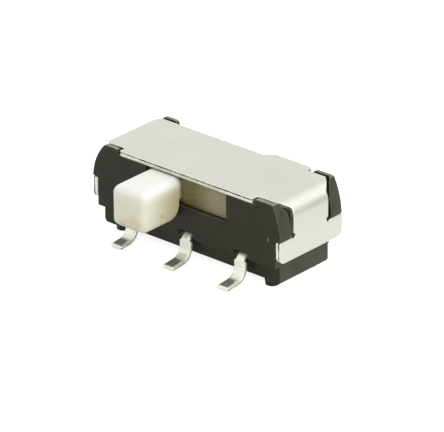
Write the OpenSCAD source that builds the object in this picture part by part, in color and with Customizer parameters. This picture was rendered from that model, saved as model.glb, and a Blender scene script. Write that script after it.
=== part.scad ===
// Surface-mount slide switch, one pole and two positions.
// A moulded base carries three formed terminals, and a folded metal cover closes it.
// A knob in the front window slides a contact clip from one outer terminal to the other.
// X runs along the body, Y from the knob towards the rear, and Z up from the board.
// The origin is the middle of the centre terminal's solder sole, on the board.

/* [Action] */
// Travel of the knob between its two positions
travel = 2; // [1.6:0.1:2.4]
// Width of the knob along the body
knob_w = 1.5; // [1.2:0.05:1.75]
// Reach of the knob in front of the body
knob_reach = 1.85; // [1.2:0.05:2.3]
// Height of the knob's underside above the board
knob_z = 1.5; // [1.3:0.05:1.8]

/* [Housing] */
// Depth of the body, front face to rear face
base_d = 3.3; // [2.75:0.05:4]
// Height of the cover's underside above the board
seat_z = 3.1; // [2.9:0.05:3.8]
// Height of the cavity floor and of the contact pads on it
floor_z = 1.035; // [0.95:0.005:1.1]
// Height of the base's underside above the board
base_z = 0.29; // [0.22:0.01:0.4]
// Front wall, in which the window is
front_wall = 0.18; // [0.15:0.01:0.22]
// Rear wall, in which the click notches are
rear_wall = 0.45; // [0.38:0.01:0.54]
// End walls, beyond the slider's stops
end_wall = 0.185; // [0.16:0.005:0.3]
// Height of the window's sill
sill_z = 2.07; // [1.95:0.01:2.3]
// Length of each corner ear along the body
ear_l = 0.95; // [0.8:0.01:1.15]
// Width of each corner ear across the body's end
ear_w = 0.6; // [0.5:0.01:0.68]
// Lean of a left ear's outer face, from its foot to its top
ear_lean_left = 0.57; // [0.3:0.01:0.65]
// Lean of a right ear's outer face, from its foot to its top
ear_lean_right = 0.36; // [0.3:0.01:0.65]

/* [Cover] */
// Thickness of the sheet
sheet = 0.2; // [0.15:0.01:0.25]
// Outer radius of the two end bends
bend_r = 0.6; // [0.45:0.05:0.7]
// Depth of the corner notches in the top plate
notch_d = 0.285; // [0.23:0.005:0.34]
// Inset of the neck from the front and rear faces
neck_inset = 0.74; // [0.7:0.01:0.9]
// Height of the lower edge of the end crossbars
bar_z = 1.14; // [1.05:0.01:1.25]
// Height of the end crossbars
bar_h = 0.83; // [0.7:0.01:0.92]

/* [Terminals] */
// Distance between neighbouring terminals
pitch = 2.5; // [2.3:0.05:2.8]
// Width of a terminal's lead
lead_w = 0.5; // [0.4:0.01:0.6]
// Thickness of the terminal strip
lead_t = 0.15; // [0.12:0.01:0.18]
// Reach of the solder foot in front of the body
foot_reach = 0.975; // [0.8:0.005:1.2]

/* [Hidden] */
$fn = 48;
past = 1;                                   // how far a cutting tool runs past the face it cuts

// Clearances
run_gap = 0.03;                             // between the slider and the walls it runs along
shelf_gap = 0.02;                           // under the slider, on its two shelves
stop_gap = 0.03;                            // beyond the slider at the end of its travel
window_gap = 0.11;                          // beside the knob at the end of its travel
knob_gap = 0.04;                            // between the knob's back and the front face
flap_gap = 0.025;                           // between the cover's end flaps and the base
hook_gap = 0.03;                            // between an ear's hook and the crossbar under it
ear_gap = 0.08;                             // between an ear and the end of the cover's wide part
ear_slit = 0.09;                            // between an ear and the side of the cover's notch
touch_gap = 0.01;                           // under the clip's contact points
clip_gap = 0.02;                            // around the clip in its pocket
click_gap = 0.03;                           // around the click spring in its pocket and notch

// Lengths along the body, counted from its middle
rest_x = -travel / 2;                       // slider's middle, at rest in its left position
window_x = knob_w / 2 + travel / 2 + window_gap;
plate_x = window_x + travel / 2;            // the slider closes the window at both positions
cavity_x = plate_x + travel / 2 + stop_gap;
base_x = cavity_x + end_wall;
flap_in_x = base_x + flap_gap;
flap_out_x = flap_in_x + sheet;
ear_x = base_x - ear_l;
wide_x = ear_x - ear_gap;
corner_x = flap_out_x - 0.5;                // slanted corners between the top plate and its necks
neck_x = flap_out_x - 0.1;
tab_x = [1.25, 2.95];                       // full-depth tab on the cover's rear edge
tab_slant = 0.25;
lower_x = base_x - 0.04;
foot_x = lower_x - 0.6;                     // stand-off feet
pad_x = lower_x - 0.685;                    // inner edge of the thicker corner pads

// Heights above the board
top_z = seat_z + sheet;
bar_top_z = bar_z + bar_h;
ledge_z = 0.92;                             // lower edge of the front face
rear_ledge_z = 1.2;                         // lower edge of the rear face
corner_pad_z = 0.2;                         // underside of the corner pads
shelf_z = 1.45;                             // shelves that the slider runs on
slider_z = shelf_z + shelf_gap;
slider_top_z = seat_z - run_gap;
knob_top_z = seat_z - 0.07;
stem_z = sill_z + 0.04;

// Depths, counted from the front face
front_step = 0.29;                          // lower block, behind the front face
rear_step = 0.457;                          // lower block, ahead of the rear face
lower_d = base_d - rear_step;
rear_in_d = base_d - rear_wall;
front_shelf_d = 0.55;
rear_shelf_d = lower_d - 0.35;
contact_d = (front_shelf_d + rear_shelf_d) / 2;
plate_front_d = front_wall + run_gap;
plate_back_d = front_shelf_d - 0.05;
block_back_d = rear_in_d - 2 * run_gap;
foot_inset = 0.31;                          // stand-off feet, from the lower block's faces
foot_r = 0.25;

// Roundings
shoulder_r = bend_r - sheet - flap_gap;     // body's top corners, inside the cover's bends
underside_r = 0.15;
crossbar_r = 0.25;
relief_r = 0.09;                            // bend reliefs where a neck meets its crossbar
knob_r = 0.2;
knob_heel_r = 0.35;                         // knob's lower rear edge
wall_end_r = 0.3;                           // upper ends of the slider's wall, inside the cover's bends
lead_notch_r = 0.2;

// Lead notches in the front face
lead_notch_w = lead_w + 0.26;
lead_notch_z = floor_z + 0.125;

// Terminal strip, in its side view: its leg stands in the plane of the front face
leg_d = [-lead_t / 2, lead_t / 2];
upper_bend_r = 0.15;                        // inner radius where the strip turns down
lower_bend_r = 0.38;                        // inner radius where it turns forward
sole_back_d = leg_d[0] - lower_bend_r;
front_y = (foot_reach - sole_back_d) / 2;   // front face, from the middle of the sole
touch_x = pitch / 2;                        // clip's contact points, from the slider's middle
outer_pad_x = touch_x + travel / 2;         // middle of an outer contact pad
contact_pad_w = 1.2;
contact_pad_l = 0.9;

// Ear, in its front view: a large arc leans its outer face in, and small ones round its top
ear_top_z = top_z + 0.01;
ear_upright_z = bar_top_z - 0.07;
ear_h = ear_top_z - ear_upright_z;
ear_out_x = flap_out_x + 0.01;
ear_corner_r = 0.13;
ear_tip_d = notch_d - ear_slit;
rear_ear_set = 0.04;                        // rear ears, ahead of the rear face

// Contact clip, in its front view, with its middle at x = 0
clip_t = 0.1;
clip_w = 0.8;
clip_top_z = slider_z + 0.38;               // ceiling of the slider's lower pocket
clip_web_x = 0.5;
clip_nose_r = 0.15;
clip_tail_a = -20;                          // angle at which the nose's bend ends
clip_pocket_x = touch_x + 0.3;
block_x = clip_pocket_x + 0.2;

// Click spring, in its top view, with its middle at x = 0
click_t = 0.08;
click_z = [2, 2.7];
click_half = 0.95;
click_foot = 0.2;                           // flat length of each end on its seat
click_seat_d = block_back_d - 0.44;         // bottom of the slider's rear pocket
click_nose_r = 0.16;
click_nose_d = block_back_d + click_gap;    // centre of the nose's bend
click_notch_r = 0.33;
click_notch_d = rear_in_d - 0.13;           // centre of a notch in the rear wall

// ---- helpers ----

// Moves a piece from the front face's frame to the switch's own frame
module from_front() {
    translate([0, front_y, 0]) children();
}

// Extrudes a front view (x, z) between two depths
module across(d0, d1) {
    translate([0, d1, 0]) rotate([90, 0, 0]) linear_extrude(d1 - d0) children();
}

// Extrudes a side view (depth, z) between two places along the body
module along(x0, x1) {
    translate([x0, 0, 0]) rotate([90, 0, 90]) linear_extrude(x1 - x0) children();
}

// Extrudes a top view (x, depth) between two heights
module upward(z0, z1) {
    translate([0, 0, z0]) linear_extrude(z1 - z0) children();
}

// Box between two corners
module block(low, high) {
    translate(low) cube(high - low);
}

// What a rounding of radius r takes away from a corner at the origin
module corner_waste(r) {
    difference() {
        translate([-past, -past]) square(r + past);
        translate([r, r]) circle(r);
    }
}

// Rectangle with corner radii [low left, low right, high right, high left], 0 for a sharp one
module soft_rect(low, high, r) {
    difference() {
        translate(low) square(high - low);
        if (r[0] > 0) translate(low) corner_waste(r[0]);
        if (r[1] > 0) translate([high[0], low[1]]) mirror([1, 0]) corner_waste(r[1]);
        if (r[2] > 0) translate(high) rotate(180) corner_waste(r[2]);
        if (r[3] > 0) translate([low[0], high[1]]) mirror([0, 1]) corner_waste(r[3]);
    }
}

// Quarter of a ring, from an angle a of its inner radius r_in to its outer radius r_out
module quarter_ring(centre, r_in, r_out, a) {
    translate(centre) rotate(a) intersection() {
        difference() {
            circle(r_out);
            circle(r_in);
        }
        square(r_out + past);
    }
}

// Repeats a shape at both ends of the body
module both_ends() {
    children();
    mirror([1, 0, 0]) children();
}

// Unit normal of the line from a to b, on its left
function normal(a, b) = let (d = b - a) [-d[1], d[0]] / norm(d);

// Mitred normal of a path p at its point i
function miter(p, i) =
    i == 0 ? normal(p[0], p[1]) :
    i == len(p) - 1 ? normal(p[i - 1], p[i]) :
    let (a = normal(p[i - 1], p[i]), b = normal(p[i], p[i + 1])) (a + b) / (1 + a * b);

// Outline of a strip of thickness t whose middle follows a path p
function ribbon(p, t) = concat(
    [for (i = [0:len(p) - 1]) p[i] + miter(p, i) * t / 2],
    [for (i = [len(p) - 1:-1:0]) p[i] - miter(p, i) * t / 2]);

// Points of an arc from angle a0 to angle a1
function arc(centre, r, a0, a1, steps) =
    [for (i = [0:steps]) let (a = a0 + (a1 - a0) * i / steps) centre + r * [cos(a), sin(a)]];

// A path with its mirror image in x = 0 joined on before it
function with_mirror(p) = concat([for (i = [len(p) - 1:-1:0]) [-p[i][0], p[i][1]]], p);

// ---- base ----

// Front view of the body above a height z
module body_view(z) {
    soft_rect([-base_x, z], [base_x, seat_z], [0, 0, shoulder_r, shoulder_r]);
}

// Front view of the lower block, thinner between its corner pads
module lower_view() {
    difference() {
        soft_rect([-lower_x, corner_pad_z], [lower_x, shelf_z], [underside_r, underside_r, 0, 0]);
        translate([-pad_x, corner_pad_z - past]) square([2 * pad_x, base_z - corner_pad_z + past]);
    }
}

// Front view of the right-hand ears, whose outer face leans in by a given amount
module ear_view(lean) {
    r = (ear_h * ear_h + lean * lean) / (2 * lean);
    centre = [ear_out_x - r, ear_upright_z];
    corner = [centre[0] + sqrt(pow(r - ear_corner_r, 2) - pow(ear_h - ear_corner_r, 2)),
              ear_top_z - ear_corner_r];
    corner_a = atan2(corner[1] - centre[1], corner[0] - centre[0]);
    polygon(concat(
        [[ear_x, bar_top_z + hook_gap]],
        arc([ear_x + ear_corner_r, ear_top_z - ear_corner_r], ear_corner_r, 180, 90, 8),
        arc(corner, ear_corner_r, 90, corner_a, 6),
        arc(centre, r, corner_a, asin((bar_top_z + hook_gap - ear_upright_z) / r), 16)));
}

// Top view of the room that a corner of the cover needs beside an ear
module cover_corner_room() {
    polygon([[0, ear_tip_d], [corner_x + 0.75 * ear_slit, ear_tip_d],
             [neck_x + 0.75 * ear_slit, neck_inset - 0.65 * ear_slit],
             [flap_out_x + past, neck_inset - 0.65 * ear_slit],
             [flap_out_x + past, base_d / 2], [0, base_d / 2]]);
}

// Front right ear, set back from the face: a thin tip beside the cover, on a wider foot beside its bend
module ear(set, lean) {
    difference() {
        across(set, ear_w) ear_view(lean);
        difference() {
            upward(0, top_z + past) cover_corner_room();
            across(0, base_d) body_view(0);
        }
    }
}

// Front and rear ears of the right-hand end
module ear_pair(lean) {
    ear(0, lean);
    translate([0, base_d, 0]) mirror([0, 1, 0]) ear(rear_ear_set, lean);
}

// Room for the slider: wide above the two shelves, narrow between them down to the floor
module cavity() {
    block([-cavity_x, front_wall, shelf_z], [cavity_x, rear_in_d, seat_z + past]);
    block([-cavity_x, front_shelf_d, floor_z], [cavity_x, rear_shelf_d, shelf_z + past]);
}

// Rounded notch in the front face around one lead
module lead_notch(x) {
    across(-past, front_step)
        soft_rect([x - lead_notch_w / 2, -past], [x + lead_notch_w / 2, lead_notch_z],
                  [0, 0, lead_notch_r, lead_notch_r]);
}

module base_solid() {
    across(0, lower_d) body_view(ledge_z);
    across(0, base_d) body_view(rear_ledge_z);
    across(front_step, lower_d) lower_view();
    ear_pair(ear_lean_right);
    mirror([1, 0, 0]) ear_pair(ear_lean_left);
    both_ends() for (d = [front_step + foot_inset, lower_d - foot_inset])
        translate([foot_x, d, 0]) cylinder(h = ledge_z, r = foot_r);
}

module base_housing() {
    color("#33342f") difference() {
        from_front() difference() {
            base_solid();
            cavity();
            block([-window_x, -past, sill_z], [window_x, front_wall + past, seat_z + past]);
            for (x = [-pitch, 0, pitch]) lead_notch(x);
            for (x = [-travel / 2, travel / 2])
                translate([x, click_notch_d, click_z[0] - click_gap])
                    cylinder(h = seat_z, r = click_notch_r);
        }
        terminal(-pitch, -outer_pad_x);
        terminal(0, 0);
        terminal(pitch, outer_pad_x);
    }
}

// ---- cover ----

// Top view of the plate, with its slanted corners and the tab on its rear edge
module plate_view() {
    rear = base_d - notch_d;
    neck = [neck_inset, base_d - neck_inset];
    end = flap_out_x + past;
    polygon([[-wide_x, 0], [wide_x, 0], [wide_x, notch_d], [corner_x, notch_d],
             [neck_x, neck[0]], [end, neck[0]], [end, neck[1]], [neck_x, neck[1]], [corner_x, rear],
             [tab_x[1], rear], [tab_x[1], base_d], [tab_x[0], base_d], [tab_x[0] - tab_slant, rear],
             [-corner_x, rear], [-neck_x, neck[1]], [-end, neck[1]], [-end, neck[0]],
             [-neck_x, neck[0]], [-corner_x, notch_d], [-wide_x, notch_d]]);
}

// Side view of an end flap: a neck, and a crossbar as wide as the body
module flap_view() {
    difference() {
        union() {
            translate([neck_inset, bar_z])
                square([base_d - 2 * neck_inset, top_z - bend_r - bar_z]);
            soft_rect([0, bar_z], [base_d, bar_top_z], [crossbar_r, crossbar_r, 0, 0]);
        }
        for (d = [neck_inset, base_d - neck_inset]) translate([d, bar_top_z + relief_r / 2]) circle(relief_r);
    }
}

// Front view of the folded sheet
module fold_view() {
    difference() {
        soft_rect([-flap_out_x, 0], [flap_out_x, top_z], [0, 0, bend_r, bend_r]);
        soft_rect([-flap_in_x, -past], [flap_in_x, seat_z], [0, 0, bend_r - sheet, bend_r - sheet]);
    }
}

module cover() {
    color("#dadbd3") from_front() intersection() {
        across(0, base_d) fold_view();
        union() {
            upward(top_z - bend_r, top_z + past) plate_view();
            both_ends() along(base_x, flap_out_x + past) flap_view();
        }
    }
}

// ---- slider ----

// Knob, rounded all round its front and softer under its back
module knob() {
    intersection() {
        across(-knob_reach, -knob_gap)
            soft_rect([-knob_w / 2, knob_z], [knob_w / 2, knob_top_z], knob_r * [1, 1, 1, 1]);
        along(-knob_w / 2, knob_w / 2)
            soft_rect([-knob_reach, knob_z], [-knob_gap, knob_top_z], [knob_r, knob_heel_r, 0, knob_r]);
        upward(knob_z, knob_top_z)
            soft_rect([-knob_w / 2, -knob_reach], [knob_w / 2, -knob_gap], [knob_r, knob_r, 0, 0]);
    }
}

module slider() {
    color("#f0f0e6") from_front() translate([rest_x, 0, 0]) {
        knob();
        block([-knob_w / 2, -knob_gap, stem_z], [knob_w / 2, plate_front_d, knob_top_z]);
        across(plate_front_d, plate_back_d)
            soft_rect([-plate_x, slider_z], [plate_x, slider_top_z], [0, 0, wall_end_r, wall_end_r]);
        difference() {
            block([-block_x, plate_back_d, slider_z], [block_x, block_back_d, slider_top_z]);
            block([-clip_pocket_x, contact_d - clip_w / 2 - clip_gap, slider_z - past],
                  [clip_pocket_x, contact_d + clip_w / 2 + clip_gap, clip_top_z]);
            block([-click_half - click_gap, click_seat_d, click_z[0] - click_gap],
                  [click_half + click_gap, block_back_d + past, click_z[1] + click_gap]);
        }
    }
}

// Bridging clip, pressed under the slider: two sprung arms that each end in a rounded nose
module moving_contact() {
    nose = [touch_x, floor_z + touch_gap + clip_nose_r + clip_t / 2];
    half = concat([[clip_web_x, clip_top_z - clip_t / 2]],
                  arc(nose, clip_nose_r, -135, clip_tail_a, 10));
    color("#c9a45c") from_front() translate([rest_x, 0, 0])
        across(contact_d - clip_w / 2, contact_d + clip_w / 2) polygon(ribbon(with_mirror(half), clip_t));
}

// Bowed leaf behind the slider, whose nose drops into a notch of the rear wall at each position
module click_spring() {
    seat = click_seat_d + click_t / 2;
    half = concat(arc([0, click_nose_d], click_nose_r, 80, 30, 5),
                  [[click_half - click_foot, seat], [click_half, seat]]);
    color("#b9bcc0") from_front() translate([rest_x, 0, 0])
        upward(click_z[0], click_z[1]) polygon(ribbon(with_mirror(half), click_t));
}

// ---- terminals ----

// Side view of a terminal's strip: inner pad, bend down, leg, bend forward, solder foot
module strip_view() {
    upper = [leg_d[1] + upper_bend_r, floor_z - lead_t - upper_bend_r];
    lower = [sole_back_d, lead_t + lower_bend_r];
    translate([upper[0], floor_z - lead_t]) square([contact_d - upper[0], lead_t]);
    quarter_ring(upper, upper_bend_r, upper_bend_r + lead_t, 90);
    translate([leg_d[0], lower[1]]) square([lead_t, upper[1] - lower[1]]);
    quarter_ring(lower, lower_bend_r, lower_bend_r + lead_t, 270);
    translate([-foot_reach, 0]) square([foot_reach + sole_back_d, lead_t]);
}

// Terminal whose lead stands at x and whose contact pad lies at inner_x
module terminal(x, inner_x) {
    from_front() {
        along(x - lead_w / 2, x + lead_w / 2) strip_view();
        block([inner_x - contact_pad_w / 2, contact_d - contact_pad_l / 2, floor_z - lead_t],
              [inner_x + contact_pad_w / 2, contact_d + contact_pad_l / 2, floor_z]);
    }
}

module terminal_left() {
    color("#d9dad6") terminal(-pitch, -outer_pad_x);
}

module terminal_common() {
    color("#d9dad6") terminal(0, 0);
}

module terminal_right() {
    color("#d9dad6") terminal(pitch, outer_pad_x);
}

base_housing();
cover();
slider();
moving_contact();
click_spring();
terminal_left();
terminal_common();
terminal_right();
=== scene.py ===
"""Looks of a surface-mount slide switch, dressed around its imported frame.

Shapes are worked out in millimetres, with depths counted from the switch's front face,
and are handed over in metres in the frame's own axes.
"""

import logging
import math
from collections.abc import Iterator
from contextlib import contextmanager
from dataclasses import dataclass, replace
from enum import Enum

import bmesh
import bpy
import numpy as np
from mathutils import Matrix, Vector
from mathutils.geometry import delaunay_2d_cdt


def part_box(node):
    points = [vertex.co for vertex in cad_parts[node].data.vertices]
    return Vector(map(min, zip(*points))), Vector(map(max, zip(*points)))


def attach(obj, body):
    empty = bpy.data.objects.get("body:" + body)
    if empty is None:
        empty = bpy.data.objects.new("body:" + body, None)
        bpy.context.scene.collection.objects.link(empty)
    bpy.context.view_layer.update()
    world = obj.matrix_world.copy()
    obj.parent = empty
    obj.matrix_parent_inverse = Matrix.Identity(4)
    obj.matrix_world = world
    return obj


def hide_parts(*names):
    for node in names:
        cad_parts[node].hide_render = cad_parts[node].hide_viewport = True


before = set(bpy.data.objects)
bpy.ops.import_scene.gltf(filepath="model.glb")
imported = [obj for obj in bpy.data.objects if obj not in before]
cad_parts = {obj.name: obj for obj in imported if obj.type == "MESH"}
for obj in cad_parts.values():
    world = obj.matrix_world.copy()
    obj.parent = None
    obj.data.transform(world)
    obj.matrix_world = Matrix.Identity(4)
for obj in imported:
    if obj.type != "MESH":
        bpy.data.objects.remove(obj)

LOG = logging.getLogger("slide_switch")
MM = 0.001
CLOSE = 1e-4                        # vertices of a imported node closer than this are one
SAME_POINT = 1e-6                   # the same for a new mesh
EXACT = 1e-7                        # how closely a flat sheet's points are kept apart
FLAT_ANGLE = math.radians(0.5)      # faces that meet at less than this are one flat face
LEAST_TURN = 0.02                   # an outline's corner that turns by less, in radians, gets no arc
ARC_STEP = math.radians(9)          # turn from one point of a corner's arc to the next
ROLL_BANDS = 5                      # faces round a sheet edge's roll
LINE_BANDS = 3                      # faces across its shear line
END_STEP = 0.015                    # distance from a straight's end to its last column
FINE_STEP = 0.1                     # grid step on a narrow strip
FINE_POINT_STEP = 0.04              # step along a narrow strip's outline


# ---- curves ----

def arc(centre: tuple[float, float], radius: float, start: float, end: float, count: int) -> np.ndarray:
    """Points on a circle: centre + radius * (cos a, sin a), for a from start to end degrees.

    Args:
        centre: Middle of the circle.
        radius: Its radius.
        start: First angle, in degrees.
        end: Last angle, in degrees.
        count: Number of points.

    Returns:
        An array of count points.
    """
    angle = np.radians(np.linspace(start, end, count))
    return np.asarray(centre) + radius * np.stack([np.cos(angle), np.sin(angle)], axis=1)


def rounded_outline(corners: list[tuple[float, float, float]], step: float) -> np.ndarray:
    """Closed outline whose corners are rounded by arcs tangent to both sides.

    A corner that turns by t with radius r is replaced by the arc that starts and ends
    r * tan(t / 2) from the corner, and the straight sides are then cut into short steps.

    Args:
        corners: Each corner as (u, v, radius), counter-clockwise.
        step: Longest step along a side.

    Returns:
        An array of outline points, with no repeated end point.
    """
    points = np.array([c[:2] for c in corners], dtype=float)
    radii = np.array([c[2] for c in corners], dtype=float)
    before = points - np.roll(points, 1, axis=0)
    after = np.roll(points, -1, axis=0) - points
    before /= np.linalg.norm(before, axis=1)[:, None]
    after /= np.linalg.norm(after, axis=1)[:, None]
    turn = np.arctan2(before[:, 0] * after[:, 1] - before[:, 1] * after[:, 0], (before * after).sum(axis=1))
    pieces = []
    for point, radius, head, next_head, angle in zip(points, radii, before, after, turn):
        if radius <= 0 or abs(angle) < LEAST_TURN:
            pieces.append(point[None])
            continue
        start = point - head * radius * math.tan(abs(angle) / 2)
        side = math.copysign(1.0, angle)
        centre = start + side * radius * np.array([-head[1], head[0]])
        count = max(3, int(abs(angle) / ARC_STEP) + 2)
        sweep = np.linspace(0, angle, count)
        spoke = start - centre
        turned = np.stack([np.cos(sweep) * spoke[0] - np.sin(sweep) * spoke[1],
                           np.sin(sweep) * spoke[0] + np.cos(sweep) * spoke[1]], axis=1)
        pieces.append(centre + turned)
    loop = np.concatenate(pieces)
    follow = np.roll(loop, -1, axis=0)
    cuts = np.maximum(1, np.ceil(np.linalg.norm(follow - loop, axis=1) / step)).astype(int)
    start = np.repeat(loop, cuts, axis=0)
    run = np.repeat(follow - loop, cuts, axis=0)
    part = np.concatenate([np.arange(c) / c for c in cuts])
    return start + run * part[:, None]


def inset(loop: np.ndarray, distance: float) -> np.ndarray:
    """Moves a counter-clockwise outline inwards: each point goes along the mitre of its two sides.

    Args:
        loop: Outline points.
        distance: How far inwards.

    Returns:
        The moved points, in the same order.
    """
    side = np.roll(loop, -1, axis=0) - loop
    side /= np.linalg.norm(side, axis=1)[:, None]
    normal = np.stack([-side[:, 1], side[:, 0]], axis=1)
    previous = np.roll(normal, 1, axis=0)
    mitre = (normal + previous) / (1 + (normal * previous).sum(axis=1))[:, None]
    return loop + distance * mitre


# ---- meshes ----

@contextmanager
def editing(mesh: bpy.types.Mesh) -> Iterator[bmesh.types.BMesh]:
    """Opens a mesh for editing, and writes it back at the end.

    Args:
        mesh: The mesh.

    Yields:
        The mesh, open for editing.
    """
    work = bmesh.new()
    work.from_mesh(mesh)
    yield work
    work.to_mesh(mesh)
    work.free()


@dataclass
class Shape:
    """Vertices in millimetres, with faces and a material index for each face."""

    points: np.ndarray
    faces: list[tuple[int, ...]]
    finish: list[int]

    def mesh(self, name: str) -> bpy.types.Mesh:
        """A mesh of this shape, with its doubled points merged and every face turned outwards.

        Args:
            name: Name of the mesh.

        Returns:
            The new mesh, in millimetres.
        """
        data = bpy.data.meshes.new(name)
        data.from_pydata(self.points.tolist(), [], self.faces)
        data.polygons.foreach_set("material_index", self.finish)
        data.polygons.foreach_set("use_smooth", [True] * len(data.polygons))
        data.update()
        with editing(data) as work:
            bmesh.ops.remove_doubles(work, verts=work.verts, dist=SAME_POINT)
            bmesh.ops.recalc_face_normals(work, faces=work.faces)
        return data


def loft(rings: np.ndarray) -> Shape:
    """Skin over closed rings of points, with a flat cap at each end.

    Each point of a ring makes a face with the point beside it and their two followers in the next ring.

    Args:
        rings: Array (ring, point, 3).

    Returns:
        The skin as a shape.
    """
    rows, columns = rings.shape[:2]
    row, column = np.meshgrid(np.arange(rows - 1), np.arange(columns), indexing="ij")
    here = row * columns + column
    beside = row * columns + (column + 1) % columns
    sides = np.stack([here, beside, beside + columns, here + columns], axis=-1).reshape(-1, 4)
    caps = [tuple(range(columns))[::-1], tuple(range((rows - 1) * columns, rows * columns))]
    faces = [tuple(face) for face in sides.tolist()] + caps
    return Shape(rings.reshape(-1, 3), faces, [0] * len(faces))


def add_object(name: str, mesh: bpy.types.Mesh) -> bpy.types.Object:
    """A linked object at the origin that shows a mesh."""
    piece = bpy.data.objects.new(name, mesh)
    bpy.context.scene.collection.objects.link(piece)
    return piece


def settled(piece: bpy.types.Object, scale: float = 1.0) -> None:
    """Applies a piece's modifiers and scales its mesh.

    Args:
        piece: Object whose modifiers are applied and removed.
        scale: Factor for its points.
    """
    graph = bpy.context.evaluated_depsgraph_get()
    result = bpy.data.meshes.new_from_object(piece.evaluated_get(graph), depsgraph=graph)
    piece.modifiers.clear()
    result.transform(Matrix.Scale(scale, 4))
    piece.data = result


def smooth_shading(piece: bpy.types.Object, sharp_deg: float, weight: int = 60) -> None:
    """Smooth faces, sharp edges above an angle, and normals weighted by face area.

    Args:
        piece: Object to shade.
        sharp_deg: Angle above which an edge stays sharp.
        weight: How far the larger faces decide the normals, to 100.
    """
    mesh = piece.data
    mesh.polygons.foreach_set("use_smooth", [True] * len(mesh.polygons))
    mesh.set_sharp_from_angle(angle=math.radians(sharp_deg))
    weighted = piece.modifiers.new("even_normals", "WEIGHTED_NORMAL")
    weighted.keep_sharp = True
    weighted.weight = weight


# ---- folded sheet metal ----

class Plane(Enum):
    """Plane in which a strip's side profile is drawn, as (first axis, second axis, width axis)."""

    FRONT = (0, 2, 1)
    SIDE = (1, 2, 0)
    TOP = (0, 1, 2)


@dataclass(frozen=True)
class Straight:
    """A straight stretch of a fold, by its length."""

    length: float


@dataclass(frozen=True)
class Bend:
    """A bend of a fold: its radius on the drawn face, and its turn in degrees, positive to the left."""

    radius: float
    turn: float

    @property
    def length(self) -> float:
        """Length of the drawn face round the bend."""
        return self.radius * math.radians(abs(self.turn))


@dataclass
class Fold:
    """Side profile of a folded strip: one face drawn as straights and bends, the metal on its right."""

    start: tuple[float, float]
    heading: float
    stretches: list[Straight | Bend]

    def knots(self) -> np.ndarray:
        """Developed lengths at which the stretches start and end."""
        return np.concatenate([[0], np.cumsum([s.length for s in self.stretches])])

    def columns(self, flat_step: float, bend_deg: float) -> np.ndarray:
        """Developed lengths for a mesh: wide steps on straights, a step for each few degrees of bend.

        A straight also gets a column close to each of its ends, which keeps its shading flat up to
        the bend beside it.

        Args:
            flat_step: Step along a straight.
            bend_deg: Step round a bend, in degrees.

        Returns:
            Sorted developed lengths.
        """
        knots = self.knots()
        parts = []
        for stretch, low, high in zip(self.stretches, knots[:-1], knots[1:]):
            bent = isinstance(stretch, Bend)
            count = math.ceil(abs(stretch.turn) / bend_deg if bent else stretch.length / flat_step)
            parts.append(np.linspace(low, high, max(1, count), endpoint=False))
            if not bent:
                parts.append(np.array([low + END_STEP, high - END_STEP]))
        return np.unique(np.concatenate(parts + [knots[-1:]]))

    def place(self, along: np.ndarray, depth: np.ndarray) -> np.ndarray:
        """Points of the profile: the drawn face at a developed length, then into the metal by a depth.

        On a straight, point = start + length * heading + depth * right. Round a bend, the spoke from
        the bend's centre turns with the length, and its end moves by the depth.

        Args:
            along: Developed lengths.
            depth: Depths under the drawn face.

        Returns:
            Array of points in the profile's plane.
        """
        knots = self.knots()
        index = np.clip(np.searchsorted(knots, along, side="right") - 1, 0, len(self.stretches) - 1)
        result = np.zeros(along.shape + (2,))
        position = np.array(self.start, dtype=float)
        heading = math.radians(self.heading)
        for number, stretch in enumerate(self.stretches):
            pick = index == number
            run = along[pick] - knots[number]
            ahead = np.array([math.cos(heading), math.sin(heading)])
            right = np.array([ahead[1], -ahead[0]])
            if isinstance(stretch, Straight):
                result[pick] = position + run[:, None] * ahead + depth[pick][:, None] * right
                position = position + stretch.length * ahead
            else:
                side = math.copysign(1.0, stretch.turn)
                centre = position - side * stretch.radius * right
                angle = heading + side * run / stretch.radius
                out = side * np.stack([np.sin(angle), -np.cos(angle)], axis=1)
                reach = stretch.radius + side * depth[pick]
                result[pick] = centre + reach[:, None] * out
                heading += math.radians(stretch.turn)
                last = side * np.array([math.sin(heading), -math.cos(heading)])
                position = centre + stretch.radius * last
        return result


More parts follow.
